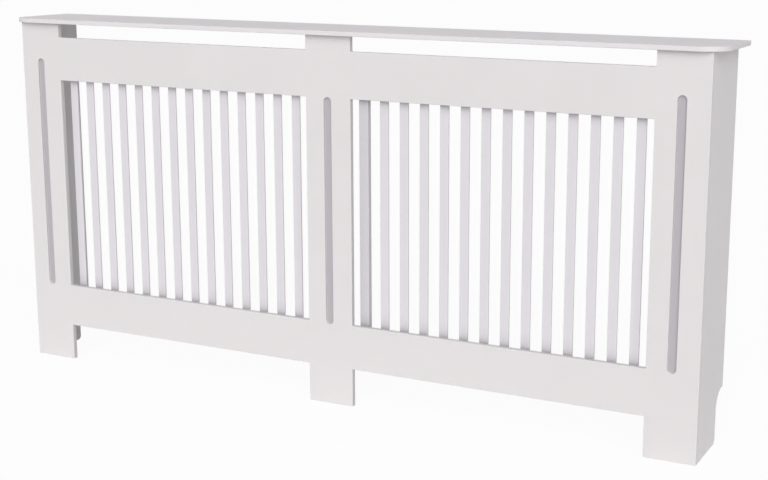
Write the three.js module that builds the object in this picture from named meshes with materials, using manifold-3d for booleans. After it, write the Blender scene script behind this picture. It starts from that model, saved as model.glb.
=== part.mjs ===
// Radiator cover cabinet: a slatted white MDF front on two end panels, with a thin shelf on top.
// Millimetres, +Z up, +X along the wall, -Y towards the room.
// The origin is on the floor, in the middle of the cabinet's footprint.

import * as THREE from 'three';
import { mergeVertices } from 'three/addons/utils/BufferGeometryUtils.js';
import Module from 'manifold-3d';

const wasm = await Module();
wasm.setup();

// ---------- Driving dimensions ----------

// Front board: three stiles joined by a top and a bottom rail, all cut from one sheet
const board = 12;                 // thickness of the front board and of the end panels
const stileWidth = 108;           // the three stiles, which run down to the floor as legs
const leftWindow = 665;           // width of the left window, its vent and its leg gap
const rightWindow = 659;          // the same on the right of the middle stile
const legHeight = 85;             // floor to the bottom rail
const bottomRail = 98;            // height of the bottom rail
const windowHeight = 491;
const topRail = 99;
const ventHeight = 32;            // open slot between the top rail and the shelf

// Shelf
const shelfThickness = 10;
const shelfSideOverhang = 24;
const shelfFrontOverhang = 12;
const shelfFrontRadius = 50;      // big round front corners, in plan
const shelfRearRadius = 3;

// End panels
const cabinetDepth = 185;         // front face of the front board to the wall
const skirtingDepth = 47;         // cut-out for the skirting board, out from the wall
const skirtingHeight = 108;
const skirtingRadius = 38;        // inside corner of the cut-out
const heelRadius = 10;            // rounded bottom corner of the foot beside the cut-out
const scribeWidth = 8;            // bevel inside the rear edges, which leaves a lip to scribe to the wall
const scribeDepth = 10;           // the bevel's reach, out from the wall

// Decorative grooves, routed in the stiles
const grooveWidth = 18;
const grooveDepth = 5;
const grooveBelowWindow = 3;      // lower ends, below the windows' lower edge
const outerGrooveRise = 48;       // outer grooves end this far above the windows
const middleGrooveRise = 1;
const grooveShift = 2;            // all three sit this far left of their stiles' middles

// Slats, fixed to the back of the rails
const slatWidth = 20;
const slatThickness = 4;
const slatMargin = 18.5;          // outer jamb to the outermost slat
const slatOverlap = 30;           // length of slat behind each rail
const leftSlats = 14;
const rightSlats = 13;

// Stiffening batten behind the rails, in the middle of the front
const battenWidth = 22;
const battenDepth = 12;
const battenMargin = 14;          // middle stile to the batten
const battenGap = 27.7;           // batten to the slat beside it

// Corner blocks that join the front board to the end panels
const blockSize = 20;
const blockHeight = 36;
const blockChamfer = 8;
const lowBlockRise = 65;          // centre of the lowest blocks, above the bottom rail's lower edge
const highBlockDrop = 90;         // centre of the highest blocks, below the shelf
const screwSpread = 18;           // between a block's two screws

// Shelf dowels
const dowelDiameter = 6;
const dowelInShelf = 6;
const dowelInPanel = 20;
const dowelChamfer = 1;
const frontDowel = 50;            // from the front face
const rearDowel = 150;

// Wall brackets
const bracketThickness = 2;
const bracketWidth = 20;
const bracketLeg = 30;
const bracketDrop = 93;           // shelf to the bracket's centre
const bracketHole = 4.6;
const wallHoleOffset = 16.5;      // end panel to the hole for the wall screw

// Screws
const screwDiameter = 3.5;
const screwHeadDiameter = 7;
const screwHeadHeight = 2.2;
const screwHeadFlat = 4.2;        // diameter of the flat on top of the head
const screwHeadEdge = 1;          // height of the head's rim
const screwBite = 7;              // length of thread in a board

const clearance = 0.3;            // between a fastener and its hole
const ease = 0.8;                 // eased edges of the painted boards
const roundSteps = 10;            // segments in a quarter of a large round corner
const fastenerSides = 14;
const runOut = 1;                 // cutters reach this far past the face that they start from
const weldDistance = 1e-4;        // mesh corners closer than this are one

// ---------- Derived places ----------

const bodyWidth = 3 * stileWidth + leftWindow + rightWindow;
const bodyHeight = legHeight + bottomRail + windowHeight + topRail + ventHeight;
const windowBottom = legHeight + bottomRail;
const windowTop = windowBottom + windowHeight;
const ventBottom = windowTop + topRail;

const footprintDepth = cabinetDepth + shelfFrontOverhang;
const frontFace = shelfFrontOverhang - footprintDepth / 2;
const boardBack = frontFace + board;
const wallPlane = frontFace + cabinetDepth;
const footDepth = cabinetDepth - skirtingDepth;

const leftEdge = -bodyWidth / 2;
const rightEdge = bodyWidth / 2;
const leftJambs = [leftEdge + stileWidth, leftEdge + stileWidth + leftWindow];
const rightJambs = [rightEdge - stileWidth - rightWindow, rightEdge - stileWidth];
const grooveCentres = [
  leftEdge + stileWidth / 2,
  (leftJambs[1] + rightJambs[0]) / 2,
  rightEdge - stileWidth / 2,
].map((middle) => middle - grooveShift);

// The right window's slats are spaced evenly from the outer jamb to the batten, and the left ones match.
const slatPitch = (rightWindow - slatMargin - slatWidth - battenGap - battenWidth - battenMargin)
  / (rightSlats - 1);

// ---------- Finishes ----------

const finish = (color, roughness, metalness = 0) =>
  new THREE.MeshStandardMaterial({ color, roughness, metalness });
const paint = () => finish(0xe9e7e6, 0.5);
const beech = () => finish(0xc9a574, 0.7);
const plastic = () => finish(0xe6e4df, 0.45);
const zinc = () => finish(0xb4b6b8, 0.38, 1);

// ---------- Solids ----------

const cabinet = new THREE.Group();

// A closed mesh with shared corners, as a solid that can be cut.
function toSolid(geometry) {
  const bare = geometry.clone();
  bare.deleteAttribute('normal');
  bare.deleteAttribute('uv');
  const merged = mergeVertices(bare, weldDistance);
  return new wasm.Manifold(new wasm.Mesh({
    numProp: 3,
    vertProperties: Float32Array.from(merged.attributes.position.array),
    triVerts: Uint32Array.from(merged.index.array),
  }));
}

// The geometry less each of the cutting geometries.
function cut(geometry, cutters) {
  const solid = cutters.reduce((rest, cutter) => rest.subtract(toSolid(cutter)), toSolid(geometry));
  const { vertProperties, triVerts } = solid.getMesh();
  const result = new THREE.BufferGeometry();
  result.setAttribute('position', new THREE.Float32BufferAttribute(vertProperties, 3));
  result.setIndex(new THREE.Uint32BufferAttribute(triVerts, 1));
  const flat = result.toNonIndexed();
  flat.computeVertexNormals();
  return flat;
}

function add(name, geometry, material, [x, y, z] = [0, 0, 0], turn = [0, 0, 0]) {
  const mesh = new THREE.Mesh(geometry, material);
  mesh.name = name;
  mesh.position.set(x, y, z);
  mesh.rotation.set(...turn);
  cabinet.add(mesh);
  return mesh;
}

// A board cut from sheet: the shape's faces are `thickness` apart and its arrises are eased.
function sheet(shape, thickness) {
  const geometry = new THREE.ExtrudeGeometry(shape, {
    depth: thickness - 2 * ease,
    bevelEnabled: true,
    bevelThickness: ease,
    bevelSize: ease,
    bevelOffset: -ease,
    bevelSegments: 1,
    curveSegments: roundSteps,
  });
  return geometry.translate(0, 0, ease);
}

// Turns a shape drawn in X and Z, extruded along its own Z, to stand up with its back at y = depth.
const standUp = (geometry, depth) => geometry.rotateX(Math.PI / 2).translate(0, depth, 0);

// A plain round bar along Z, from z = 0 up.
function bar(radius, length) {
  return new THREE.CylinderGeometry(radius, radius, length, fastenerSides)
    .rotateX(Math.PI / 2)
    .translate(0, 0, length / 2);
}

// ---------- Front board ----------

function frontOutline() {
  const outline = new THREE.Shape();
  outline.moveTo(leftEdge, 0);
  outline.lineTo(leftJambs[0], 0);
  outline.lineTo(leftJambs[0], legHeight);
  outline.lineTo(leftJambs[1], legHeight);
  outline.lineTo(leftJambs[1], 0);
  outline.lineTo(rightJambs[0], 0);
  outline.lineTo(rightJambs[0], legHeight);
  outline.lineTo(rightJambs[1], legHeight);
  outline.lineTo(rightJambs[1], 0);
  outline.lineTo(rightEdge, 0);
  outline.lineTo(rightEdge, bodyHeight);
  outline.lineTo(rightJambs[1], bodyHeight);
  outline.lineTo(rightJambs[1], ventBottom);
  outline.lineTo(rightJambs[0], ventBottom);
  outline.lineTo(rightJambs[0], bodyHeight);
  outline.lineTo(leftJambs[1], bodyHeight);
  outline.lineTo(leftJambs[1], ventBottom);
  outline.lineTo(leftJambs[0], ventBottom);
  outline.lineTo(leftJambs[0], bodyHeight);
  outline.lineTo(leftEdge, bodyHeight);
  outline.closePath();
  return outline;
}

// Cutters for one window: straight through, and flared at both faces for the eased arrises.
function windowCutters([from, to]) {
  const opening = new THREE.Shape([
    [from, windowBottom], [to, windowBottom], [to, windowTop], [from, windowTop],
  ].map(([x, z]) => new THREE.Vector2(x, z)));
  const through = new THREE.ExtrudeGeometry(opening, { depth: board + 2 * runOut, bevelEnabled: false });
  const flare = () => new THREE.ExtrudeGeometry(opening, {
    depth: runOut, bevelEnabled: true, bevelThickness: ease, bevelSize: ease, bevelSegments: 1,
  }).rotateX(Math.PI / 2);
  return [
    standUp(through, boardBack + runOut),
    flare().translate(0, frontFace, 0),
    flare().translate(0, boardBack + runOut, 0),
  ];
}

// One round-ended groove, as the router bit sweeps it.
function grooveCutter(x, bottom, top) {
  const radius = grooveWidth / 2;
  const path = new THREE.Shape();
  path.absarc(x, top - radius, radius, 0, Math.PI);
  path.absarc(x, bottom + radius, radius, Math.PI, 2 * Math.PI);
  const geometry = new THREE.ExtrudeGeometry(path, {
    depth: grooveDepth + runOut, bevelEnabled: false, curveSegments: 2 * roundSteps,
  });
  return standUp(geometry, frontFace + grooveDepth);
}

const grooveBottom = windowBottom - grooveBelowWindow;
const grooveTops = [outerGrooveRise, middleGrooveRise, outerGrooveRise].map((rise) => windowTop + rise);

// Screw places in the front board's back: [x, z]. Block screws run through the middle of the flat faces.
const lowBlock = legHeight + lowBlockRise;
const highBlock = bodyHeight - highBlockDrop;
const blockCentres = { low: lowBlock, middle: (lowBlock + highBlock) / 2, high: highBlock };
const blockFlat = (blockSize - blockChamfer) / 2;
const endInnerFace = rightEdge - board;
const blockScrews = [-1, 1].flatMap((side) => Object.values(blockCentres)
  .map((z) => [side * (endInnerFace - blockFlat), z + screwSpread / 2]));
const battenCentre = rightJambs[0] + battenMargin + battenWidth / 2;
const battenScrews = [windowBottom - slatOverlap / 2, windowTop + slatOverlap / 2]
  .map((z) => [battenCentre, z]);

const pilotRadius = screwDiameter / 2 + clearance;
const pilotDepth = screwBite + clearance;

function pilotInFront([x, z]) {
  return bar(pilotRadius, pilotDepth + runOut)
    .rotateX(-Math.PI / 2)
    .translate(x, boardBack - pilotDepth, z);
}

add('front_panel', cut(
  standUp(sheet(frontOutline(), board), boardBack),
  [
    ...[leftJambs, rightJambs].flatMap(windowCutters),
    ...grooveCentres.map((x, i) => grooveCutter(x, grooveBottom, grooveTops[i])),
    ...[...blockScrews, ...battenScrews].map(pilotInFront),
  ],
), paint());

// ---------- End panels ----------

// Side profile, drawn with x as depth from the front face and y as height.
function endOutline() {
  const outline = new THREE.Shape();
  outline.moveTo(board, 0);
  outline.lineTo(footDepth - heelRadius, 0);
  outline.absarc(footDepth - heelRadius, heelRadius, heelRadius, -Math.PI / 2, 0);
  outline.lineTo(footDepth, skirtingHeight - skirtingRadius);
  outline.absarc(footDepth + skirtingRadius, skirtingHeight - skirtingRadius,
    skirtingRadius, Math.PI, Math.PI / 2, true);
  outline.lineTo(cabinetDepth, skirtingHeight);
  outline.lineTo(cabinetDepth, bodyHeight);
  outline.lineTo(board, bodyHeight);
  outline.closePath();
  return outline;
}

const bracketCentreY = wallPlane - bracketLeg / 2;
const bracketHeight = bodyHeight - bracketDrop;
const dowelRadius = dowelDiameter / 2;
const dowelPlaces = [frontDowel, rearDowel].map((depth) => frontFace + depth);

// Cutter for the bevel inside an end panel's rear edge.
function scribeCutter(side) {
  const slope = scribeDepth / scribeWidth;
  const corner = new THREE.Shape([
    [-runOut, -scribeDepth - runOut * slope], [scribeWidth + runOut / slope, runOut], [-runOut, runOut],
  ].map(([x, y]) => new THREE.Vector2(side * (endInnerFace + x), wallPlane + y)));
  return new THREE.ExtrudeGeometry(corner, { depth: bodyHeight + 2 * runOut, bevelEnabled: false })
    .translate(0, 0, -runOut);
}

function endPanel(side) {
  const inner = side * endInnerFace;
  // Drawn profile to the cabinet's frame: depth along Y, height along Z, thickness along X.
  const blank = sheet(endOutline(), board)
    .rotateX(Math.PI / 2)
    .rotateZ(Math.PI / 2)
    .translate(side > 0 ? inner : inner - board, frontFace, 0);
  const intoPanel = (y, z) => bar(pilotRadius, pilotDepth + runOut)
    .rotateY(side * Math.PI / 2)
    .translate(inner - side * runOut, y, z);
  const cutters = [
    scribeCutter(side),
    ...Object.values(blockCentres).map((z) => intoPanel(boardBack + blockFlat, z - screwSpread / 2)),
    intoPanel(bracketCentreY, bracketHeight),
    ...dowelPlaces.map((y) => bar(dowelRadius + clearance, dowelInPanel + clearance + runOut)
      .translate(side * (rightEdge - board / 2), y, bodyHeight - dowelInPanel - clearance)),
  ];
  return cut(blank, cutters);
}

add('side_panel_left', endPanel(-1), paint());
add('side_panel_right', endPanel(1), paint());

// ---------- Shelf ----------

function shelfOutline() {
  const halfWidth = rightEdge + shelfSideOverhang;
  const front = frontFace - shelfFrontOverhang;
  const [r, s] = [shelfFrontRadius, shelfRearRadius];
  const outline = new THREE.Shape();
  outline.moveTo(0, front);
  outline.absarc(halfWidth - r, front + r, r, -Math.PI / 2, 0);
  outline.absarc(halfWidth - s, wallPlane - s, s, 0, Math.PI / 2);
  outline.absarc(-halfWidth + s, wallPlane - s, s, Math.PI / 2, Math.PI);
  outline.absarc(-halfWidth + r, front + r, r, Math.PI, 1.5 * Math.PI);
  outline.closePath();
  return outline;
}

const shelfDowelHoles = [-1, 1].flatMap((side) => dowelPlaces.map((y) =>
  bar(dowelRadius + clearance, dowelInShelf + clearance + runOut)
    .translate(side * (rightEdge - board / 2), y, bodyHeight - runOut)));
add('top_shelf', cut(sheet(shelfOutline(), shelfThickness).translate(0, 0, bodyHeight), shelfDowelHoles),
  paint());

// ---------- Slats and batten ----------

// Thin strip standing on end: a rectangle with eased arrises, run along Z.
function strip(width, depth, length) {
  const e = ease;
  const section = new THREE.Shape();
  section.moveTo(-width / 2 + e, 0);
  section.lineTo(width / 2 - e, 0);
  section.lineTo(width / 2, e);
  section.lineTo(width / 2, depth - e);
  section.lineTo(width / 2 - e, depth);
  section.lineTo(-width / 2 + e, depth);
  section.lineTo(-width / 2, depth - e);
  section.lineTo(-width / 2, e);
  section.closePath();
  return new THREE.ExtrudeGeometry(section, { depth: length, bevelEnabled: false });
}

const slatLength = windowHeight + 2 * slatOverlap;
const slatFoot = windowBottom - slatOverlap;
const slatLabel = (number) => String(number).padStart(2, '0');

// Slats are set out from the outer jamb towards the middle.
function addSlats(sideName, count, outerJamb, inward) {
  for (let i = 0; i < count; i++) {
    const x = outerJamb + inward * (slatMargin + slatWidth / 2 + i * slatPitch);
    add(`slat_${sideName}_${slatLabel(i + 1)}`, strip(slatWidth, slatThickness, slatLength), paint(),
      [x, boardBack, slatFoot]);
  }
}
addSlats('left', leftSlats, leftJambs[0], 1);
addSlats('right', rightSlats, rightJambs[1], -1);

const battenHoles = battenScrews.map(([, z]) =>
  bar(pilotRadius, battenDepth + 2 * runOut)
    .rotateX(-Math.PI / 2)
    .translate(0, -runOut, z - slatFoot));
add('centre_batten', cut(strip(battenWidth, battenDepth, slatLength), battenHoles), paint(),
  [battenCentre, boardBack, slatFoot]);

// ---------- Fasteners ----------

// Pan-head wood screw, pointing along +Z with the underside of its head at z = 0.
function screw(grip) {
  const length = grip + screwBite;
  const r = screwDiameter / 2;
  const head = screwHeadDiameter / 2;
  const tip = 2 * screwDiameter;
  const profile = [
    [0, -screwHeadHeight],
    [screwHeadFlat / 2, -screwHeadHeight],
    [head, -screwHeadEdge],
    [head, 0],
    [r, 0],
    [r, length - tip],
    [0, length],
  ].map(([x, y]) => new THREE.Vector2(x, y));
  // The lathe turns about Y: its profile is mirrored so that the faces point out, then stood along Z.
  return new THREE.LatheGeometry(profile, fastenerSides).rotateX(Math.PI / 2);
}

for (const [level, z] of Object.entries(blockCentres)) {
  for (const side of [-1, 1]) {
    const end = side < 0 ? 'left' : 'right';
    const inner = side * endInnerFace;
    const corner = new THREE.Shape([
      [0, 0], [blockSize, 0], [blockSize, blockSize - blockChamfer],
      [blockSize - blockChamfer, blockSize], [0, blockSize],
    ].map(([x, y]) => new THREE.Vector2(inner - side * x, boardBack + y)));
    const body = new THREE.ExtrudeGeometry(corner, { depth: blockHeight, bevelEnabled: false })
      .translate(0, 0, z - blockHeight / 2);
    const [frontZ, endZ] = [z + screwSpread / 2, z - screwSpread / 2];
    const holes = [
      bar(pilotRadius, blockSize + 2 * runOut).rotateX(-Math.PI / 2)
        .translate(inner - side * blockFlat, boardBack - runOut, frontZ),
      bar(pilotRadius, blockSize + 2 * runOut).rotateY(side * Math.PI / 2)
        .translate(inner - side * (blockSize + runOut), boardBack + blockFlat, endZ),
    ];
    add(`corner_block_${end}_${level}`, cut(body, holes), plastic());
    add(`front_screw_${end}_${level}`, screw(blockSize), zinc(),
      [inner - side * blockFlat, boardBack + blockSize, frontZ], [Math.PI / 2, 0, 0]);
    add(`end_screw_${end}_${level}`, screw(blockSize), zinc(),
      [inner - side * blockSize, boardBack + blockFlat, endZ], [0, side * Math.PI / 2, 0]);
  }
}

battenScrews.forEach(([x, z], i) => {
  add(`batten_screw_${i ? 'high' : 'low'}`, screw(battenDepth), zinc(),
    [x, boardBack + battenDepth, z], [Math.PI / 2, 0, 0]);
});

// Wooden dowel along Z with chamfered ends, from z = 0 up.
function dowel() {
  const length = dowelInPanel + dowelInShelf;
  const profile = [
    [0, 0], [dowelRadius - dowelChamfer, 0], [dowelRadius, dowelChamfer],
    [dowelRadius, length - dowelChamfer], [dowelRadius - dowelChamfer, length], [0, length],
  ].map(([x, y]) => new THREE.Vector2(x, y));
  return new THREE.LatheGeometry(profile, fastenerSides).rotateX(Math.PI / 2);
}

for (const side of [-1, 1]) {
  const end = side < 0 ? 'left' : 'right';
  dowelPlaces.forEach((y, i) => {
    add(`shelf_dowel_${end}_${i ? 'rear' : 'front'}`, dowel(), beech(),
      [side * (rightEdge - board / 2), y, bodyHeight - dowelInPanel]);
  });

  // Angle bracket: one leg on the end panel, the other flush with the wall plane.
  const inner = side * endInnerFace;
  const t = bracketThickness;
  const section = new THREE.Shape([
    [0, 0], [0, bracketLeg], [bracketLeg, bracketLeg], [bracketLeg, bracketLeg - t],
    [t, bracketLeg - t], [t, 0],
  ].map(([x, y]) => new THREE.Vector2(inner - side * x, wallPlane - bracketLeg + y)));
  const angle = new THREE.ExtrudeGeometry(section, { depth: bracketWidth, bevelEnabled: false })
    .translate(0, 0, bracketHeight - bracketWidth / 2);
  const holes = [
    bar(bracketHole / 2, t + 2 * runOut).rotateY(side * Math.PI / 2)
      .translate(inner - side * (t + runOut), bracketCentreY, bracketHeight),
    bar(bracketHole / 2, t + 2 * runOut).rotateX(-Math.PI / 2)
      .translate(inner - side * wallHoleOffset, wallPlane - t - runOut, bracketHeight),
  ];
  add(`wall_bracket_${end}`, cut(angle, holes), zinc());
  add(`bracket_screw_${end}`, screw(t), zinc(),
    [inner - side * t, bracketCentreY, bracketHeight], [0, side * Math.PI / 2, 0]);
}

export default cabinet;
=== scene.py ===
"""White slatted radiator cover cabinet, dressed for a studio picture."""

from math import cos, pi, radians, sin

import bmesh
import bpy
from mathutils import Matrix, Vector


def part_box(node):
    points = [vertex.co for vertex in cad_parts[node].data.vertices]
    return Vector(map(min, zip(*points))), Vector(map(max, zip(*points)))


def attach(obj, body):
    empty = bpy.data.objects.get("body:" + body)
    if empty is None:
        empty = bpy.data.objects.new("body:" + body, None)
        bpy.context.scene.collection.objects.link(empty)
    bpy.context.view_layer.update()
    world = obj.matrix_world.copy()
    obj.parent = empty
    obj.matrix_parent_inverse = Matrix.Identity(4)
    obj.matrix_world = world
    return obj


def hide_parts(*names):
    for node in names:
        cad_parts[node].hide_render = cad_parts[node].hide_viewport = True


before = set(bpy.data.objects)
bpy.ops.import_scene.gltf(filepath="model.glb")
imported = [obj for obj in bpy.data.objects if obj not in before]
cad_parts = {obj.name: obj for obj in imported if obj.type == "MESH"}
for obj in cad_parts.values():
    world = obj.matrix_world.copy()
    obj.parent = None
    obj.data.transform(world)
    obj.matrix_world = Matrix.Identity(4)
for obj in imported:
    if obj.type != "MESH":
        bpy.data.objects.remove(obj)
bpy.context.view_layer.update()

bl_info = {
    "name": "Slatted radiator cover",
    "version": (1, 0, 0),
    "blender": (4, 5, 0),
    "location": "3D View > Sidebar > Radiator Cover",
    "description": "Builds the painted boards, slats and fittings of a radiator cover",
    "category": "Object",
}

BODY = "root"
SIDES = {"left": -1, "right": 1}
LEVELS = ("low", "middle", "high")
SLAT_COUNTS = {"left": 14, "right": 13}


# ---------- Places taken from the frame ----------


def corners(node):
    """The low and the high corner of a node's box."""
    return [Vector(corner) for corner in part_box(node)]


FRONT_LOW, FRONT_HIGH = corners("front_panel")
SHELF_LOW, SHELF_HIGH = corners("top_shelf")
END_LOW, END_HIGH = corners("side_panel_right")
BOARD = FRONT_HIGH.y - FRONT_LOW.y


# ---------- Sizes and colours that a user would change ----------


def length(name, description, default):
    return bpy.props.FloatProperty(
        name=name, description=description, default=default, min=0.0, unit="LENGTH", precision=5
    )


def colour(name, description, default):
    return bpy.props.FloatVectorProperty(
        name=name, description=description, default=default,
        size=3, min=0.0, max=1.0, subtype="COLOR",
    )


def share(name, description, default):
    return bpy.props.FloatProperty(
        name=name, description=description, default=default, min=0.0, max=1.0, subtype="FACTOR"
    )


class CoverSizes(bpy.types.PropertyGroup):
    """Sizes of the boards and of their machining, in metres."""

    stile: length("Stile width", "Width of each of the three uprights", 0.108)
    left_window: length("Left window", "Width of the left window", 0.665)
    leg: length("Leg height", "Floor to the bottom rail", 0.085)
    sill: length("Window sill", "Floor to the windows", 0.183)
    head: length("Window head", "Floor to the top of the windows", 0.674)
    vent: length("Vent sill", "Floor to the vents under the shelf", 0.773)
    groove_width: length("Groove width", "Width of the routed grooves", 0.018)
    groove_depth: length("Groove depth", "Depth of the routed grooves", 0.005)
    groove_shift: length("Groove shift", "Grooves sit this far left of their stiles' middles", 0.002)
    groove_foot: length("Groove foot", "Floor to the lower end of the grooves", 0.180)
    outer_groove_head: length("Outer groove head", "Floor to the top of the outer grooves", 0.722)
    middle_groove_head: length("Middle groove head", "Floor to the top of the middle groove", 0.675)
    shelf_corner: length("Shelf corner", "Radius of the shelf's front corners", 0.050)
    shelf_rear_corner: length("Shelf rear corner", "Radius of the shelf's rear corners", 0.003)
    foot_depth: length("Foot depth", "Front face to the skirting cut-out", 0.138)
    skirting: length("Skirting height", "Height of the skirting cut-out", 0.108)
    skirting_corner: length("Cut-out corner", "Inside radius of the skirting cut-out", 0.038)
    heel: length("Heel radius", "Rounded bottom corner of the foot", 0.010)
    scribe_width: length("Scribe width", "Bevel inside the rear edges, across the edge", 0.008)
    scribe_depth: length("Scribe depth", "Bevel inside the rear edges, along the inner face", 0.010)
    arris: length("Arris", "Rounding of the painted boards' edges", 0.0011)
    shelf_arris: length("Shelf arris", "Rounding of the shelf's long edges", 0.0014)
    slat_arris: length("Slat arris", "Rounding of the slats' edges", 0.0009)


class CoverFinish(bpy.types.PropertyGroup):
    """Colours and gloss of the finishes."""

    paint: colour("Paint", "White paint of the boards", (0.785, 0.765, 0.772))
    # Painted shade: the shelf's faces take a white darker than the board's.
    shelf_paint: colour("Shelf paint", "White paint of the shelf's faces", (0.762, 0.733, 0.760))
    # Painted light: the shelf's edges take a white lighter than the board's.
    painted_edge_light: colour("Edge paint", "Lighter white of the shelf's edges", (0.808, 0.788, 0.795))
    # A cooler and slightly darker white than the board's: the darkening is painted shade of the slats
    # behind the board.
    slat_paint: colour("Slat paint", "White paint of the slats", (0.757, 0.737, 0.777))
    # Painted shade on the grooves' floors, far darker than the board's white.
    groove_floor_shade: colour("Routed paint", "Darker white of the grooves' floors", (0.487, 0.474, 0.503))
    paint_roughness: share("Paint roughness", "Roughness of the paint on flat faces", 0.46)
    edge_roughness: share("Edge roughness", "Roughness of the paint on sawn edges", 0.58)
    plastic: colour("Plastic", "Moulded corner blocks", (0.76, 0.74, 0.70))
    zinc: colour("Zinc", "Zinc plating of screws and brackets", (0.62, 0.63, 0.64))
    beech: colour("Beech", "Bare beech of the dowels", (0.56, 0.37, 0.20))
    floor: colour("Floor", "Plain studio floor", (0.86, 0.86, 0.86))


# ---------- Mesh helpers ----------

RUN_OUT = 0.005  # cutters reach this far past the faces that they cut
SHARP_ANGLE = radians(35)  # edges sharper than this are corners, not curves
SQUARE = ((-1, -1), (1, -1), (1, 1), (-1, 1))


def new_object(name, mesh):
    obj = bpy.data.objects.new(name, mesh)
    bpy.context.scene.collection.objects.link(obj)
    return obj


def from_bmesh(name, shell):
    bmesh.ops.recalc_face_normals(shell, faces=shell.faces)
    mesh = bpy.data.meshes.new(name)
    shell.to_mesh(mesh)
    shell.free()
    return new_object(name, mesh)


def join_rings(shell, rings):
    """Skins rings of points, one to the next, with a face at each end."""
    loops = [[shell.verts.new(point) for point in ring] for ring in rings]
    shell.faces.new(loops[0])
    shell.faces.new(loops[-1])
    for near, far in zip(loops, loops[1:]):
        for i in range(len(near)):
            j = (i + 1) % len(near)
            shell.faces.new((near[i], near[j], far[j], far[i]))


def skinned(name, rings):
    shell = bmesh.new()
    join_rings(shell, rings)
    return from_bmesh(name, shell)


def prism(name, outline, depth, place):
    """A flat outline pushed to a thickness; place turns (u, v, w) into a point of the frame."""
    return skinned(name, [[place(u, v, w) for u, v in outline] for w in (0.0, depth)])


def turned(name, profile, steps=32):
    """A profile of (radius, height) points, turned round Z. It starts and ends on the axis."""
    shell = bmesh.new()
    rings = []
    for radius, height in profile:
        turns = [0.0] if radius < 1e-7 else [2 * pi * i / steps for i in range(steps)]
        rings.append([shell.verts.new((radius * cos(t), radius * sin(t), height)) for t in turns])
    for near, far in zip(rings, rings[1:]):
        for i in range(steps):
            j = (i + 1) % steps
            patch = (near[i % len(near)], near[j % len(near)], far[j % len(far)], far[i % len(far)])
            unique = list(dict.fromkeys(patch))
            if len(unique) > 2:
                shell.faces.new(unique)
    return from_bmesh(name, shell)


def arc(centre, radius, start, end, steps=14):
    return [
        (centre[0] + radius * cos(start + (end - start) * i / steps),
         centre[1] + radius * sin(start + (end - start) * i / steps))
        for i in range(steps + 1)
    ]


def apply_modifiers(obj):
    """The object's mesh becomes what its modifiers make of it."""
    graph = bpy.context.evaluated_depsgraph_get()
    mesh = bpy.data.meshes.new_from_object(obj.evaluated_get(graph), depsgraph=graph)
    old = obj.data
    obj.modifiers.clear()
    obj.data = mesh
    bpy.data.meshes.remove(old)


def cut(obj, cutters, crossing=False):
    """Takes the cutters out of the object and deletes them. A crossing cutter meets itself."""
    for cutter in cutters:
        modifier = obj.modifiers.new("cut", "BOOLEAN")
        modifier.operation = "DIFFERENCE"
        modifier.solver = "EXACT"
        modifier.use_self = crossing
        modifier.object = cutter
    apply_modifiers(obj)
    for cutter in cutters:
        mesh = cutter.data
        bpy.data.objects.remove(cutter)
        bpy.data.meshes.remove(mesh)


def round_edges(obj, width, segments=3):
    """Rounds every sharp edge, as sanding and paint do."""
    modifier = obj.modifiers.new("round", "BEVEL")
    modifier.width = width
    modifier.segments = segments
    modifier.limit_method = "ANGLE"
    modifier.angle_limit = SHARP_ANGLE
    modifier.harden_normals = True
    modifier.use_clamp_overlap = True
    for polygon in obj.data.polygons:
        polygon.use_smooth = True
    apply_modifiers(obj)


def seat(obj, node, material):
    """Finishes a piece: its material, the node that it stands for, and its body."""
    obj.data.materials.clear()
    obj.data.materials.append(material)
    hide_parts(node)
    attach(obj, BODY)


# ---------- Node helpers ----------


def shade(colour_value, factor):
    return tuple(min(1.0, channel * factor) for channel in colour_value)


def named_material(name):
    return bpy.data.materials.get(name) or bpy.data.materials.new(name)


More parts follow.
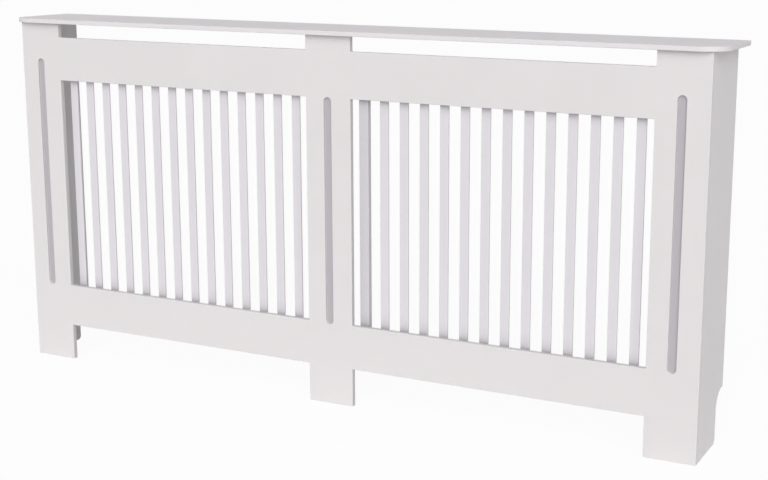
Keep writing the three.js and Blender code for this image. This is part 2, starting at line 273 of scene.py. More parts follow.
class Nodes:
    """A small hand for wiring the nodes of a material or of the world."""

    def __init__(self, holder, output):
        holder.use_nodes = True
        self.holder = holder
        self.tree = holder.node_tree
        self.tree.nodes.clear()
        self.output = self.node(output)

    def node(self, kind, **settings):
        made = self.tree.nodes.new(kind)
        for key, value in settings.items():
            setattr(made, key, value)
        return made

    def link(self, source, target):
        self.tree.links.new(source, target)

    def coordinates(self, stretch=(1.0, 1.0, 1.0)):
        source = self.node("ShaderNodeTexCoord")
        mapping = self.node("ShaderNodeMapping")
        mapping.inputs["Scale"].default_value = stretch
        self.link(source.outputs["Object"], mapping.inputs["Vector"])
        return mapping.outputs["Vector"]

    def separate(self, vector):
        """A vector's X, Y and Z."""
        node = self.node("ShaderNodeSeparateXYZ")
        self.link(vector, node.inputs["Vector"])
        return node.outputs

    def noise(self, vector, scale, detail=3.0, roughness=0.5):
        """Noise of about as many blots per metre as its scale."""
        texture = self.node("ShaderNodeTexNoise")
        texture.inputs["Scale"].default_value = scale
        texture.inputs["Detail"].default_value = detail
        texture.inputs["Roughness"].default_value = roughness
        self.link(vector, texture.inputs["Vector"])
        return texture.outputs["Fac"]

    def span(self, value, low, high, from_low=0.3, from_high=0.7):
        """Maps a value to a range. What it comes from is a noise's range if nothing else is given."""
        ranged = self.node("ShaderNodeMapRange")
        ranged.inputs["From Min"].default_value = from_low
        ranged.inputs["From Max"].default_value = from_high
        ranged.inputs["To Min"].default_value = low
        ranged.inputs["To Max"].default_value = high
        self.link(value, ranged.inputs["Value"])
        return ranged.outputs["Result"]

    def math(self, operation, first, second=0.0):
        node = self.node("ShaderNodeMath", operation=operation)
        for socket, value in zip(node.inputs, (first, second)):
            if isinstance(value, (int, float)):
                socket.default_value = value
            else:
                self.link(value, socket)
        return node.outputs["Value"]

    def mix(self, share_value, first, second):
        """Mixes two colours, each a constant or a node's output, by a share from the nodes."""
        node = self.node("ShaderNodeMix", data_type="RGBA")
        sockets = [socket for socket in node.inputs if socket.type == "RGBA"]
        for socket, value in zip(sockets, (first, second)):
            if isinstance(value, tuple):
                socket.default_value = (*value, 1.0)
            else:
                self.link(value, socket)
        self.link(share_value, node.inputs["Factor"])
        return next(socket for socket in node.outputs if socket.type == "RGBA")

    def bump(self, height, distance, strength, below=None):
        node = self.node("ShaderNodeBump")
        node.inputs["Strength"].default_value = strength
        node.inputs["Distance"].default_value = distance
        self.link(height, node.inputs["Height"])
        if below is not None:
            self.link(below, node.inputs["Normal"])
        return node.outputs["Normal"]

    def seen_by(self, *kinds):
        """1 for rays of the given kinds, 0 for all others."""
        rays = self.node("ShaderNodeLightPath").outputs
        seen = rays[kinds[0]]
        for kind in kinds[1:]:
            seen = self.math("MAXIMUM", seen, rays[kind])
        return seen

    def blend_out(self, share_value, first, second):
        """Sends a mix of two surfaces, or of two backgrounds, to the output."""
        node = self.node("ShaderNodeMixShader")
        for socket, value in zip(node.inputs, (share_value, first, second)):
            self.link(value, socket)
        self.link(node.outputs["Shader"], self.output.inputs["Surface"])


class Surface(Nodes):
    """The nodes of one of the object's materials."""

    def __init__(self, name, base, roughness, metallic=0.0):
        super().__init__(named_material(name), "ShaderNodeOutputMaterial")
        self.base = tuple(base)
        self.space = self.coordinates()
        self.shader = self.node("ShaderNodeBsdfPrincipled")
        self.shader.inputs["Base Color"].default_value = (*base, 1.0)
        self.shader.inputs["Roughness"].default_value = roughness
        self.shader.inputs["Metallic"].default_value = metallic
        self.link(self.shader.outputs["BSDF"], self.output.inputs["Surface"])

    def tone(self, value, dark, light):
        """A colour between a darker and a lighter shade of the base."""
        return self.mix(value, shade(self.base, dark), shade(self.base, light))

    def finished(self, colour_value, roughness, normal):
        """Links the colour, the roughness and the relief, and gives the material."""
        self.link(colour_value, self.shader.inputs["Base Color"])
        self.link(roughness, self.shader.inputs["Roughness"])
        self.link(normal, self.shader.inputs["Normal"])
        return self.holder


# ---------- Paint ----------

PAINT_IOR = 1.5
ALONG_STRIP = (1.0, 1.0, 0.05)  # stretches the fibres along a slat

# The shares and shades here were fitted to the picture. What darkens it there isn't known, and may
# be no more than its light. They are painted shade in the coat's colour, in inner corners, on the
# strips, on cut faces and on inner faces.
# Painted shade in inner corners: its reach, strength and darkness.
CREASE_REACH = 0.035
CREASE_SHARE = 0.5
CREASE_SHADE = 0.45
# Painted shade on the strips near the rails and jambs: its strength at their lower and upper ends,
# and its darkness.
STRIP_FOOT_SHARE, STRIP_HEAD_SHARE = 1.25, 0.7
STRIP_SHADE = 0.2
# Painted shade on the cut faces of the front board.
CUT_SHADE = 0.82
# Painted shade on the end panels' inner faces and on the batten.
INNER_SHADE = 0.88

EDGE_BAND = (0.35, 0.8)  # how far faces look along the thickness: sawn edges to board faces
SILL_BAND = (0.2, 0.7)  # how far faces look up: jambs to sills
FLOOR_BAND = (-0.9, -0.2)  # how far faces look away from the room: groove floors to cut faces
FEET_BAND = (0.03, 0.09)  # heights, from the feet, which stay as they are, to the rest
STRIP_BAND = (0.3, 0.6)  # heights, from the strips' darker lower ends to their upper ends
BOARD_ENDS = (FRONT_HIGH.x - 0.008, FRONT_HIGH.x - 0.004)  # places where the board's ends begin
CUT_FADE = 0.003
INSIDE_FADE = 0.001


class Paint(Surface):
    """Sprayed white paint on fibreboard, drier on the sawn edges.

    The methods lay painted shade and painted light over the coat, one layer after another, and
    dried() makes the material of it.
    """

    def __init__(self, name, base, face_axis, finish):
        super().__init__(name, base, finish.paint_roughness)
        self.shader.inputs["IOR"].default_value = PAINT_IOR
        self.finish = finish
        self.place = self.separate(self.space)
        self.from_middle = self.math("ABSOLUTE", self.place["X"])
        self.facing = self.separate(self.node("ShaderNodeNewGeometry").outputs["Normal"])
        self.edge = self.span(self.math("ABSOLUTE", self.facing[face_axis]), 1.0, 0.0, *EDGE_BAND)
        cloud = self.span(self.noise(self.space, scale=7.0, detail=4.0), 0.0, 0.7)
        speck = self.span(self.noise(self.space, scale=420.0, detail=2.0), 0.0, 0.3)
        self.coat = self.tone(self.math("ADD", cloud, speck), dark=0.982, light=1.012)

    def cover(self, share_value, colour_value):
        """Lays a colour over the coat, by a share from the nodes."""
        self.coat = self.mix(share_value, self.coat, tuple(colour_value))

    def paint_corner_shade(self, strength, dull):
        """Paints shade into the coat in inner corners, as ambient occlusion finds them, to a share of
        the base at full strength.
        """
        corner = self.node("ShaderNodeAmbientOcclusion", samples=8)
        corner.inputs["Distance"].default_value = CREASE_REACH
        closed = self.span(corner.outputs["AO"], 1.0, 0.0, 0.0, 1.0)
        self.cover(self.math("MULTIPLY", closed, strength), shade(self.base, dull))

    def paint_crease_shade(self):
        """Paints a little shade into the inner corners, and leaves the feet as they are."""
        self.paint_corner_shade(self.span(self.place["Z"], 0.0, CREASE_SHARE, *FEET_BAND), CREASE_SHADE)

    def paint_strip_shade(self):
        """Paints shade on strips near the rails and jambs, as ambient occlusion finds it, most of all
        at their lower ends.
        """
        strength = self.span(self.place["Z"], STRIP_FOOT_SHARE, STRIP_HEAD_SHARE, *STRIP_BAND)
        self.paint_corner_shade(strength, STRIP_SHADE)

    def paint_lit_edges(self, colour_value):
        # Painted light: the edges take a lighter white than the faces.
        self.cover(self.edge, colour_value)

    def paint_inside_shade(self, face):
        """Paints shade on an inner face, given its distance from the cabinet's middle."""
        inside = self.span(self.from_middle, 1.0, 0.0, face, face + INSIDE_FADE)
        self.cover(inside, shade(self.base, INNER_SHADE))

    def paint_cut_shade(self, start, floor_shade):
        """Paints shade on the cut faces behind a place along Y, and a darker painted shade on the
        grooves' floors.

        The sills, which look up, and the board's ends stay as they are.
        """
        depth = self.span(self.place["Y"], 0.0, 1.0, start, start + CUT_FADE)
        within = self.span(self.from_middle, 1.0, 0.0, *BOARD_ENDS)
        no_sill = self.span(self.facing["Z"], 1.0, 0.0, *SILL_BAND)
        cut_face = self.math("MULTIPLY", self.math("MULTIPLY", depth, within), no_sill)
        groove_floor = self.span(self.facing["Y"], 1.0, 0.0, *FLOOR_BAND)
        self.cover(cut_face, shade(self.base, CUT_SHADE))
        self.cover(self.math("MULTIPLY", cut_face, groove_floor), floor_shade)

    def dried(self, grain=None):
        """The material, with fine orange peel. Fibres show on edges, and on faces with a grain."""
        smooth, rough = self.finish.paint_roughness, self.finish.edge_roughness
        satin = self.span(self.noise(self.space, scale=35.0), smooth - 0.04, smooth + 0.05)
        rise = self.math("MULTIPLY", self.edge, rough - smooth)

        waves = self.noise(self.space, scale=22.0, detail=2.0)
        peel = self.noise(self.space, scale=650.0, detail=2.0, roughness=0.45)
        fibres = self.noise(self.coordinates(grain or (1.0, 1.0, 1.0)), scale=1500.0, roughness=0.6)
        shown = self.math("ADD", self.edge, 0.25 if grain else 0.05)
        normal = self.bump(waves, distance=0.0002, strength=0.3)
        normal = self.bump(peel, distance=0.00005, strength=0.5, below=normal)
        normal = self.bump(self.math("MULTIPLY", fibres, shown), distance=0.00008, strength=0.6,
                           below=normal)
        return self.finished(self.coat, self.math("ADD", satin, rise), normal)


# ---------- Plastic, zinc and beech ----------


def moulded_plastic(name, base):
    plastic = Surface(name, base, roughness=0.42)
    mottle = plastic.noise(plastic.space, scale=60.0)
    gloss = plastic.noise(plastic.space, scale=240.0, detail=2.0)
    spark = plastic.noise(plastic.space, scale=1800.0, detail=2.0)
    return plastic.finished(
        plastic.tone(plastic.span(mottle, 0.0, 1.0), dark=0.96, light=1.02),
        plastic.span(gloss, 0.36, 0.48),
        plastic.bump(spark, distance=0.00004, strength=0.6),
    )


def zinc_plate(name, base):
    zinc = Surface(name, base, roughness=0.34, metallic=1.0)
    patches = zinc.noise(zinc.space, scale=160.0, detail=4.0)
    gloss = zinc.noise(zinc.space, scale=500.0)
    brushed = zinc.noise(zinc.coordinates((1.0, 1.0, 0.08)), scale=2600.0, detail=2.0)
    return zinc.finished(
        zinc.tone(zinc.span(patches, 0.0, 1.0), dark=0.88, light=1.08),
        zinc.span(gloss, 0.26, 0.42),
        zinc.bump(brushed, distance=0.00003, strength=0.5),
    )


def bare_beech(name, base):
    beech = Surface(name, base, roughness=0.66)
    grain = beech.coordinates((1.0, 1.0, 0.06))
    streaks = beech.noise(grain, scale=900.0, detail=4.0, roughness=0.6)
    gloss = beech.noise(grain, scale=400.0)
    pores = beech.noise(grain, scale=1500.0)
    return beech.finished(
        beech.tone(beech.span(streaks, 0.0, 1.0), dark=0.72, light=1.15),
        beech.span(gloss, 0.6, 0.74),
        beech.bump(pores, distance=0.0001, strength=0.6),
    )


# ---------- Front board ----------


def window_jambs(sizes):
    """(left edge, right edge) of each window, seen from the room."""
    left = FRONT_LOW.x + sizes.stile
    middle = left + sizes.left_window
    return (left, middle), (middle + sizes.stile, FRONT_HIGH.x - sizes.stile)


def front_outline(sizes):
    """Up the legs, round the leg gaps, and over the vents, in X and Z."""
    floor, top = FRONT_LOW.z, FRONT_HIGH.z
    windows = window_jambs(sizes)
    points = [(FRONT_LOW.x, floor)]
    for left, right in windows:
        points += [(left, floor), (left, sizes.leg), (right, sizes.leg), (right, floor)]
    points += [(FRONT_HIGH.x, floor), (FRONT_HIGH.x, top)]
    for left, right in reversed(windows):
        points += [(right, top), (right, sizes.vent), (left, sizes.vent), (left, top)]
    return points + [(FRONT_LOW.x, top)]


def groove_outline(middle, head, sizes):
    radius = sizes.groove_width / 2
    upper = arc((middle, head - radius), radius, 0.0, pi)
    lower = arc((middle, sizes.groove_foot + radius), radius, pi, 2 * pi)
    return upper + lower


def front_cutter(outline, depth):
    """Cuts an outline, in X and Z, to a depth behind the board's face."""
    return prism("cutter", outline, RUN_OUT + depth,
                 lambda u, v, w: (u, FRONT_LOW.y - RUN_OUT + w, v))


class COVER_OT_front(bpy.types.Operator):
    """Cuts the front board with its legs, windows, vents and routed grooves"""

    bl_idname = "cover.front"
    bl_label = "Front board"

    def execute(self, context):
        sizes, finish = context.scene.cover_sizes, context.scene.cover_finish
        board = prism("front_board", front_outline(sizes), BOARD,
                      lambda u, v, w: (u, FRONT_LOW.y + w, v))
        left, right = window_jambs(sizes)
        cutters = [
            front_cutter([(jambs[0], sizes.sill), (jambs[1], sizes.sill),
                          (jambs[1], sizes.head), (jambs[0], sizes.head)], BOARD + RUN_OUT)
            for jambs in (left, right)
        ]
        groove_heads = {
            (FRONT_LOW.x + left[0]) / 2: sizes.outer_groove_head,
            (left[1] + right[0]) / 2: sizes.middle_groove_head,
            (right[1] + FRONT_HIGH.x) / 2: sizes.outer_groove_head,
        }
        cutters += [
            front_cutter(groove_outline(stile_middle - sizes.groove_shift, head, sizes),
                         sizes.groove_depth)
            for stile_middle, head in groove_heads.items()
        ]
        cut(board, cutters)
        round_edges(board, sizes.arris)

        paint = Paint("board_paint", finish.paint, "Y", finish)
        # Painted shade in the inner corners.
        paint.paint_crease_shade()
        # Painted shade on the cut faces, darker on the grooves' floors.
        paint.paint_cut_shade(FRONT_LOW.y + sizes.arris, finish.groove_floor_shade)
        seat(board, "front_panel", paint.dried())
        return {"FINISHED"}


# ---------- End panels ----------


def end_outline(sizes):
    """Side profile in Y and Z: foot, rounded heel, skirting cut-out, wall edge, top."""
    foot = FRONT_LOW.y + sizes.foot_depth
    heel, corner = sizes.heel, sizes.skirting_corner
    points = [(END_LOW.y, END_LOW.z)]
    points += arc((foot - heel, heel), heel, -pi / 2, 0.0, 8)
    points += arc((foot + corner, sizes.skirting - corner), corner, pi, pi / 2)
    points += [(END_HIGH.y, sizes.skirting), (END_HIGH.y, END_HIGH.z), (END_LOW.y, END_HIGH.z)]
    return points


def scribe_cutter(inner, sign, sizes):
    """Bevel inside a rear edge; inner is the X of the panel's inner face."""
    slope = sizes.scribe_depth / sizes.scribe_width
    outline = [
        (inner - sign * RUN_OUT, END_HIGH.y - sizes.scribe_depth - RUN_OUT * slope),
        (inner + sign * (sizes.scribe_width + RUN_OUT / slope), END_HIGH.y + RUN_OUT),
        (inner - sign * RUN_OUT, END_HIGH.y + RUN_OUT),
    ]
    return prism("cutter", outline, END_HIGH.z + 2 * RUN_OUT,
                 lambda u, v, w: (u, v, w - RUN_OUT))


class COVER_OT_ends(bpy.types.Operator):
    """Cuts the two end panels with their skirting cut-outs"""

    bl_idname = "cover.ends"
    bl_label = "End panels"

    def execute(self, context):
        sizes, finish = context.scene.cover_sizes, context.scene.cover_finish
        paint = Paint("end_paint", finish.paint, "X", finish)
        # Painted shade in the inner corners.
        paint.paint_crease_shade()
        # Painted shade on the inner faces.
        paint.paint_inside_shade(END_LOW.x)
        material = paint.dried()
        for side, sign in SIDES.items():
            node = f"side_panel_{side}"
            low, high = corners(node)
            panel = prism(f"end_panel_{side}", end_outline(sizes), high.x - low.x,
                          lambda u, v, w, x=low.x: (x + w, u, v))
            inner = low.x if sign > 0 else high.x
            cut(panel, [scribe_cutter(inner, sign, sizes)])
            round_edges(panel, sizes.arris)
            seat(panel, node, material)
        return {"FINISHED"}


# ---------- Shelf ----------


def shelf_outline(sizes):
    low, high = SHELF_LOW, SHELF_HIGH
    front, rear = sizes.shelf_corner, sizes.shelf_rear_corner
    return (
        arc((high.x - front, low.y + front), front, -pi / 2, 0.0, 28)
        + arc((high.x - rear, high.y - rear), rear, 0.0, pi / 2, 6)
        + arc((low.x + rear, high.y - rear), rear, pi / 2, pi, 6)
        + arc((low.x + front, low.y + front), front, pi, 1.5 * pi, 28)
    )


class COVER_OT_shelf(bpy.types.Operator):
    """Makes the thin shelf with its round front corners"""

    bl_idname = "cover.shelf"
    bl_label = "Shelf"

    def execute(self, context):
        sizes, finish = context.scene.cover_sizes, context.scene.cover_finish
        shelf = prism("shelf", shelf_outline(sizes), SHELF_HIGH.z - SHELF_LOW.z,
                      lambda u, v, w: (u, v, SHELF_LOW.z + w))
        round_edges(shelf, sizes.shelf_arris, segments=5)

        # Painted shade on the shelf's faces and painted light on its edges.
        paint = Paint("shelf_paint", finish.shelf_paint, "Z", finish)
        paint.paint_lit_edges(finish.painted_edge_light)
        # Painted shade in the inner corners.
        paint.paint_crease_shade()
        seat(shelf, "top_shelf", paint.dried())
        return {"FINISHED"}


# ---------- Slats and batten ----------


def strip_paint(name, base, finish):
    paint = Paint(name, base, "Y", finish)
    # Painted shade near the rails and jambs.
    paint.paint_strip_shade()
    return paint.dried(ALONG_STRIP)


def standing_strip(name, node, arris, material):
    """A strip that fills its node's box, with rounded edges."""
    low, high = corners(node)
    outline = [(low.x, low.y), (high.x, low.y), (high.x, high.y), (low.x, high.y)]
    strip = prism(name, outline, high.z - low.z, lambda u, v, w: (u, v, low.z + w))
    round_edges(strip, arris)
    seat(strip, node, material)


class COVER_OT_slats(bpy.types.Operator):
    """Stands the slats behind the two windows, and the batten by the middle stile"""

    bl_idname = "cover.slats"
    bl_label = "Slats and batten"

    def execute(self, context):
        sizes, finish = context.scene.cover_sizes, context.scene.cover_finish
        slat_paint = strip_paint("slat_paint", finish.slat_paint, finish)
        for side, count in SLAT_COUNTS.items():
            for number in range(1, count + 1):
                label = f"{side}_{number:02d}"
                standing_strip(f"strip_{label}", f"slat_{label}", sizes.slat_arris, slat_paint)
        # The batten's white is the slats' white darkened by INNER_SHADE: painted shade beside the
        # middle stile.
        batten_paint = strip_paint("batten_paint", shade(finish.slat_paint, INNER_SHADE), finish)
        standing_strip("stiffening_batten", "centre_batten", sizes.slat_arris, batten_paint)
        return {"FINISHED"}


# ---------- Corner blocks ----------

BLOCK_CHAMFER = 0.008
BLOCK_ROUNDING = 0.0012


class COVER_OT_blocks(bpy.types.Operator):
    """Moulds the plastic blocks that join the front board to the end panels"""

    bl_idname = "cover.blocks"
    bl_label = "Corner blocks"

    def execute(self, context):
        material = moulded_plastic("block_plastic", context.scene.cover_finish.plastic)
        for side, sign in SIDES.items():
            for level in LEVELS:
                node = f"corner_block_{side}_{level}"
                low, high = corners(node)
                size = high.x - low.x
                short = size - BLOCK_CHAMFER
                panel_face = high.x if sign > 0 else low.x
                section = [(0, 0), (size, 0), (size, short), (short, size), (0, size)]
                outline = [(panel_face - sign * x, low.y + y) for x, y in section]
                block = prism(f"moulded_block_{side}_{level}", outline, high.z - low.z,
                              lambda u, v, w, z=low.z: (u, v, z + w))
                round_edges(block, BLOCK_ROUNDING)
                seat(block, node, material)
        return {"FINISHED"}


# ---------- Screws ----------

HEAD_RADIUS = 0.0035
HEAD_HEIGHT = 0.0022
HEAD_RIM = 0.35  # share of the head's height that is its straight rim
SHANK_RADIUS = 0.00172
TIP_LENGTH = 0.007

# The cross recess: reach, half width and place of its blades, at its mouth and at its floor.
RECESS_MOUTH = (0.0023, 0.0005, -HEAD_HEIGHT - 0.001)
RECESS_FLOOR = (0.0009, 0.0003, -0.0004)


def screw_profile(shank):
    """Pan-head screw along +Z, as (radius, height): the underside of its head is at height 0."""
    steps = 8
    turns = [pi / 2 * i / steps for i in range(steps + 1)]
    dome = [
        (HEAD_RADIUS * sin(t), -HEAD_HEIGHT * (HEAD_RIM + (1 - HEAD_RIM) * cos(t)))
        for t in turns
    ]
    return [*dome, (HEAD_RADIUS, 0.0), (SHANK_RADIUS, 0.0),
            (SHANK_RADIUS, shank - TIP_LENGTH), (0.0, shank)]


def cross_cutter():
    """Two tapered blades that leave a cross recess in the head."""
    shell = bmesh.new()
    for angle in (0.0, pi / 2):
        turn = Matrix.Rotation(angle, 3, "Z")
        join_rings(shell, [
            [turn @ Vector((x * reach, y * half_width, z)) for x, y in SQUARE]
            for reach, half_width, z in (RECESS_MOUTH, RECESS_FLOOR)
        ])
    return from_bmesh("cutter", shell)


def screw_mesh(shank):
    screw = turned("screw", screw_profile(shank))
    cut(screw, [cross_cutter()], crossing=True)
    mesh = screw.data
    mesh.shade_smooth()
    mesh.set_sharp_from_angle(angle=SHARP_ANGLE)
    bpy.data.objects.remove(screw)
    return mesh


def drive_screw(name, node, axis, sign, mesh, material):
    """Puts a screw in its node's place: it points along the axis, in the sign's direction."""
    low, high = corners(node)
    under_head = (low + high) / 2
    under_head[axis] = (low[axis] if sign > 0 else high[axis]) + sign * HEAD_HEIGHT
    direction = Vector((0, 0, 0))
    direction[axis] = sign
    turn = Vector((0, 0, 1)).rotation_difference(direction).to_matrix().to_4x4()
    copy = mesh.copy()
    copy.transform(Matrix.Translation(under_head) @ turn)
    seat(new_object(name, copy), node, material)


# ---------- Wall brackets ----------

BRACKET_THICKNESS = 0.002
BRACKET_BEND = 0.003
BRACKET_ARRIS = 0.0004
HOLE_RADIUS = 0.0023
WALL_HOLE_OFFSET = 0.0165  # from the end panel's inner face


def bracket_section(leg):
    """An angle with a round bend, whose legs lie on the end panel and on the wall."""
    centre = (BRACKET_BEND, leg - BRACKET_BEND)
    outer_bend = arc(centre, BRACKET_BEND, pi, pi / 2, 6)
    inner_bend = arc(centre, BRACKET_BEND - BRACKET_THICKNESS, pi / 2, pi, 6)
    return [(0.0, 0.0), *outer_bend, (leg, leg),
            (leg, leg - BRACKET_THICKNESS), *inner_bend, (BRACKET_THICKNESS, 0.0)]


def hole_cutter(place, turning_axis):
    """A pin through a leg, turned a quarter from upright."""
    profile = [(0.0, -RUN_OUT), (HOLE_RADIUS, -RUN_OUT), (HOLE_RADIUS, RUN_OUT), (0.0, RUN_OUT)]
    pin = turned("cutter", profile, steps=24)
    pin.data.transform(Matrix.Translation(place) @ Matrix.Rotation(pi / 2, 4, turning_axis))
    return pin


# ---------- Dowels ----------

FLUTES = 16
FLUTE_DEPTH = 0.00035
STEPS_PER_FLUTE = 4
DOWEL_CHAMFER = 0.001


def flute_ring(centre, radius, height):
    """One level of a fluted dowel, as points round its centre line."""
    steps = FLUTES * STEPS_PER_FLUTE
    ring = []
    for turn in (2 * pi * i / steps for i in range(steps)):
        reach = radius - FLUTE_DEPTH * (0.5 - 0.5 * cos(FLUTES * turn))
        ring.append((centre.x + reach * cos(turn), centre.y + reach * sin(turn), height))
    return ring


class COVER_OT_fittings(bpy.types.Operator):
    """Drives the screws, and makes the wall brackets and the shelf dowels"""

    bl_idname = "cover.fittings"
    bl_label = "Screws, brackets and dowels"

    def execute(self, context):
        finish = context.scene.cover_finish
        zinc = zinc_plate("zinc_plate", finish.zinc)
        self.screws(zinc)
        self.brackets(zinc)
        self.dowels(bare_beech("bare_beech", finish.beech))
        return {"FINISHED"}

    def screws(self, material):
        meshes = {}

        def drive(name, node, axis, sign):
            low, high = corners(node)
            shank = round(high[axis] - low[axis] - HEAD_HEIGHT, 4)
            if shank not in meshes:
                meshes[shank] = screw_mesh(shank)
            drive_screw(name, node, axis, sign, meshes[shank], material)

        for side, sign in SIDES.items():
            for level in LEVELS:
                drive(f"board_screw_{side}_{level}", f"front_screw_{side}_{level}", 1, -1)
                drive(f"panel_screw_{side}_{level}", f"end_screw_{side}_{level}", 0, sign)
            drive(f"angle_screw_{side}", f"bracket_screw_{side}", 0, sign)
        for level in ("low", "high"):
            drive(f"strip_screw_{level}", f"batten_screw_{level}", 1, -1)

    def brackets(self, material):
        for side, sign in SIDES.items():
            node = f"wall_bracket_{side}"
            low, high = corners(node)
            leg = high.x - low.x
            panel_face = high.x if sign > 0 else low.x
            outline = [(panel_face - sign * x, low.y + y) for x, y in bracket_section(leg)]
            bracket = prism(f"angle_bracket_{side}", outline, high.z - low.z,
                            lambda u, v, w, z=low.z: (u, v, z + w))
            height = (low.z + high.z) / 2
            half = BRACKET_THICKNESS / 2
            panel_hole = (panel_face - sign * half, low.y + leg / 2, height)
            wall_hole = (panel_face - sign * WALL_HOLE_OFFSET, high.y - half, height)
            cut(bracket, [hole_cutter(panel_hole, "Y"), hole_cutter(wall_hole, "X")])
            round_edges(bracket, BRACKET_ARRIS, segments=2)
            seat(bracket, node, material)

    def dowels(self, material):
        for side in SIDES:
            for place in ("front", "rear"):
                node = f"shelf_dowel_{side}_{place}"
                low, high = corners(node)
                centre = (low + high) / 2
                radius = (high.y - low.y) / 2
                levels = [
                    (low.z, radius - DOWEL_CHAMFER),
                    (low.z + DOWEL_CHAMFER, radius),
                    (high.z - DOWEL_CHAMFER, radius),
                    (high.z, radius - DOWEL_CHAMFER),
                ]
                dowel = skinned(f"fluted_dowel_{side}_{place}",
                                [flute_ring(centre, reach, height) for height, reach in levels])
                seat(dowel, node, material)


# ---------- Stage ----------

CAMERA_PLACE = Vector((1.48839, -2.59140, 1.01697))
CAMERA_AZIMUTH = radians(25.674)
CAMERA_ELEVATION = radians(11.606)
CAMERA_ROLL = radians(0.357)
IMAGE_WIDTH, IMAGE_HEIGHT = 768, 480
FOCAL_PIXELS = 1383.8
PRINCIPAL_POINT = (447.6, 216.4)
SENSOR = 36.0

AMBIENT = 0.24
AMBIENT_TINT = (0.965, 0.975, 1.0)
KEY_DIRECTION = Vector((0.37, -0.79, 0.49))
KEY_TINT = (1.0, 0.985, 0.975)
KEY_STRENGTH = 2.28
REAR_DIRECTION = Vector((0.0, 1.0, 0.0))
REAR_TINT = (1.0, 1.0, 1.0)
REAR_STRENGTH = 0.5
LIGHT_SOFTNESS = radians(60)

FLOOR_REACH = 60.0
FLOOR_THICKNESS = 0.02
FLOOR_GAP = 0.0005  # keeps the floor's top clear of the feet
FLOOR_GLOW = 0.95


def add_camera(scene):
    """Looks from the picture's viewing angle, with the same lens and crop."""
    camera = bpy.data.cameras.new("camera")
    camera.sensor_width = SENSOR
    camera.lens = FOCAL_PIXELS * SENSOR / IMAGE_WIDTH
    camera.shift_x = (IMAGE_WIDTH / 2 - PRINCIPAL_POINT[0]) / IMAGE_WIDTH
    camera.shift_y = (PRINCIPAL_POINT[1] - IMAGE_HEIGHT / 2) / IMAGE_WIDTH
    holder = bpy.data.objects.new("camera", camera)
    scene.collection.objects.link(holder)
    level = Vector((cos(CAMERA_AZIMUTH), sin(CAMERA_AZIMUTH), 0.0))
    ahead = Vector((
        -sin(CAMERA_AZIMUTH) * cos(CAMERA_ELEVATION),
        cos(CAMERA_AZIMUTH) * cos(CAMERA_ELEVATION),
        -sin(CAMERA_ELEVATION),
    ))
    aim = Matrix((level, level.cross(ahead), -ahead)).transposed().to_4x4()
    roll = Matrix.Rotation(CAMERA_ROLL, 4, "Z")
    holder.matrix_world = Matrix.Translation(CAMERA_PLACE) @ aim @ roll
    scene.camera = holder


def add_floor(base):
    """A wide pale floor that shows near white and keeps the object's shadow."""
    outline = [(x * FLOOR_REACH, y * FLOOR_REACH) for x, y in SQUARE]
    floor = prism("studio_floor", outline, FLOOR_THICKNESS,
                  lambda u, v, w: (u, v, w - FLOOR_THICKNESS - FLOOR_GAP))
    nodes = Nodes(named_material("studio_floor"), "ShaderNodeOutputMaterial")
    diffuse = nodes.node("ShaderNodeBsdfDiffuse")
    diffuse.inputs["Color"].default_value = (*base, 1.0)
    glow = nodes.node("ShaderNodeEmission")
    glow.inputs["Strength"].default_value = 1.0
    seen = nodes.seen_by("Is Camera Ray", "Is Glossy Ray")
    nodes.blend_out(nodes.math("MULTIPLY", seen, FLOOR_GLOW),
                    diffuse.outputs["BSDF"], glow.outputs["Emission"])
    floor.data.materials.append(nodes.holder)


def add_world(scene):
    """White where the camera and reflections look, a soft grey for the light that it gives."""
    scene.world = bpy.data.worlds.new("studio")
    nodes = Nodes(scene.world, "ShaderNodeOutputWorld")
    soft = nodes.node("ShaderNodeBackground")
    soft.inputs["Strength"].default_value = AMBIENT
    soft.inputs["Color"].default_value = (*AMBIENT_TINT, 1.0)
    white = nodes.node("ShaderNodeBackground")
    white.inputs["Color"].default_value = (1.0, 1.0, 1.0, 1.0)
    seen = nodes.seen_by("Is Camera Ray", "Is Glossy Ray", "Is Transmission Ray")
    nodes.blend_out(seen, soft.outputs["Background"], white.outputs["Background"])


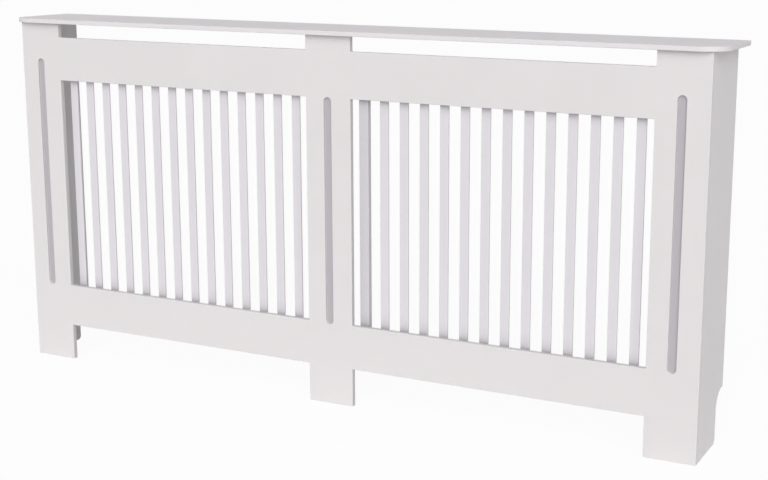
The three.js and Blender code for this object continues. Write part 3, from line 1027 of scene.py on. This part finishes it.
def add_soft_light(scene, name, direction, strength, tint):
    """A broad light that shines from a direction, as a large panel far away does."""
    lamp = bpy.data.lights.new(name, "SUN")
    lamp.energy = strength
    lamp.color = tint
    lamp.angle = LIGHT_SOFTNESS
    holder = bpy.data.objects.new(name, lamp)
    scene.collection.objects.link(holder)
    holder.rotation_mode = "QUATERNION"
    holder.rotation_quaternion = direction.to_track_quat("Z", "Y")
    return holder


class COVER_OT_stage(bpy.types.Operator):
    """Sets the floor, the soft light and the camera at the picture's viewing angle"""

    bl_idname = "cover.stage"
    bl_label = "Studio stage"

    def execute(self, context):
        scene = context.scene
        add_floor(scene.cover_finish.floor)
        add_world(scene)
        add_soft_light(scene, "key", KEY_DIRECTION, KEY_STRENGTH, KEY_TINT)
        fill = add_soft_light(scene, "rear_fill", REAR_DIRECTION, REAR_STRENGTH, REAR_TINT)
        fill.visible_glossy = False
        add_camera(scene)
        scene.view_settings.view_transform = "Standard"
        return {"FINISHED"}


# ---------- Panel and registration ----------

OPERATORS = (COVER_OT_front, COVER_OT_ends, COVER_OT_shelf, COVER_OT_slats,
             COVER_OT_blocks, COVER_OT_fittings, COVER_OT_stage)


class COVER_PT_panel(bpy.types.Panel):
    """Lists the cover's making steps in order, and its sizes and finishes"""

    bl_idname = "COVER_PT_panel"
    bl_label = "Radiator Cover"
    bl_space_type = "VIEW_3D"
    bl_region_type = "UI"
    bl_category = "Radiator Cover"

    def draw(self, context):
        for operator in OPERATORS:
            self.layout.operator(operator.bl_idname)
        for group in (context.scene.cover_sizes, context.scene.cover_finish):
            for key in group.bl_rna.properties.keys():
                if key not in ("rna_type", "name"):
                    self.layout.prop(group, key)


CLASSES = (CoverSizes, CoverFinish, *OPERATORS, COVER_PT_panel)


def register():
    for cls in CLASSES:
        bpy.utils.register_class(cls)
    bpy.types.Scene.cover_sizes = bpy.props.PointerProperty(type=CoverSizes)
    bpy.types.Scene.cover_finish = bpy.props.PointerProperty(type=CoverFinish)


def unregister():
    del bpy.types.Scene.cover_finish
    del bpy.types.Scene.cover_sizes
    for cls in reversed(CLASSES):
        bpy.utils.unregister_class(cls)


def main():
    register()
    bpy.ops.cover.front()
    bpy.ops.cover.ends()
    bpy.ops.cover.shelf()
    bpy.ops.cover.slats()
    bpy.ops.cover.blocks()
    bpy.ops.cover.fittings()
    bpy.ops.cover.stage()


if __name__ == "__main__":
    main()
